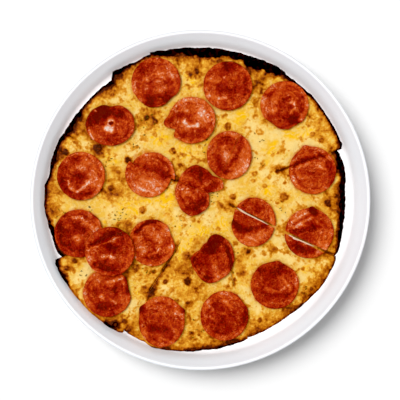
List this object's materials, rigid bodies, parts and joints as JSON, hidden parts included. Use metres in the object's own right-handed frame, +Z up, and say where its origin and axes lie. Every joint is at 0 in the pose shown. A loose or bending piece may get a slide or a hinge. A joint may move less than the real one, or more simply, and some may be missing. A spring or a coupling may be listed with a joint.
{
  "type": "pepperoni pan pizza in a round dish",
  "caption": "Thin round pan pizza with browned cheese and pepperoni, cut into slices that keep its shape, resting in a shallow white glazed dish with a raised sloping side.",
  "frame": {"origin": "middle of the dish's foot ring, on the table", "axes": "+Z up, out of the open dish; +Y to the far side of the pizza; +X to the right"},
  "size_m": [0.2876, 0.2876, 0.022],
  "materials": {
    "dish": "glossy white glaze",
    "crust": "baked dough, browned, charred at the rim",
    "cheese": "melted cheese, soft sheen of oil",
    "pepperoni": "baked cured sausage, greasy sheen"
  },
  "bodies": {
    "root": {"dish": "dish", "crust_1": "crust", "crust_2": "crust", "crust_3": "crust", "crust_4": "crust", "crust_5": "crust", "crust_6": "crust", "crust_7": "crust", "crust_8": "crust", "cheese_1": "cheese", "cheese_2": "cheese", "cheese_3": "cheese", "cheese_4": "cheese", "cheese_5": "cheese", "cheese_6": "cheese", "cheese_7": "cheese", "cheese_8": "cheese", "pepperoni_01": "pepperoni", "pepperoni_02": "pepperoni", "pepperoni_03": "pepperoni", "pepperoni_04": "pepperoni", "pepperoni_05_a": "pepperoni", "pepperoni_05_b": "pepperoni", "pepperoni_06": "pepperoni", "pepperoni_07_a": "pepperoni", "pepperoni_07_b": "pepperoni", "pepperoni_08_a": "pepperoni", "pepperoni_08_b": "pepperoni", "pepperoni_09_a": "pepperoni", "pepperoni_09_b": "pepperoni", "pepperoni_10_a": "pepperoni", "pepperoni_10_b": "pepperoni", "pepperoni_11_a": "pepperoni", "pepperoni_11_b": "pepperoni", "pepperoni_12_a": "pepperoni", "pepperoni_12_b": "pepperoni", "pepperoni_13": "pepperoni", "pepperoni_14_a": "pepperoni", "pepperoni_14_b": "pepperoni", "pepperoni_15": "pepperoni", "pepperoni_16": "pepperoni", "pepperoni_17_a": "pepperoni", "pepperoni_17_b": "pepperoni", "pepperoni_18": "pepperoni", "pepperoni_19": "pepperoni", "pepperoni_20": "pepperoni"}
  },
  "joints": []
}
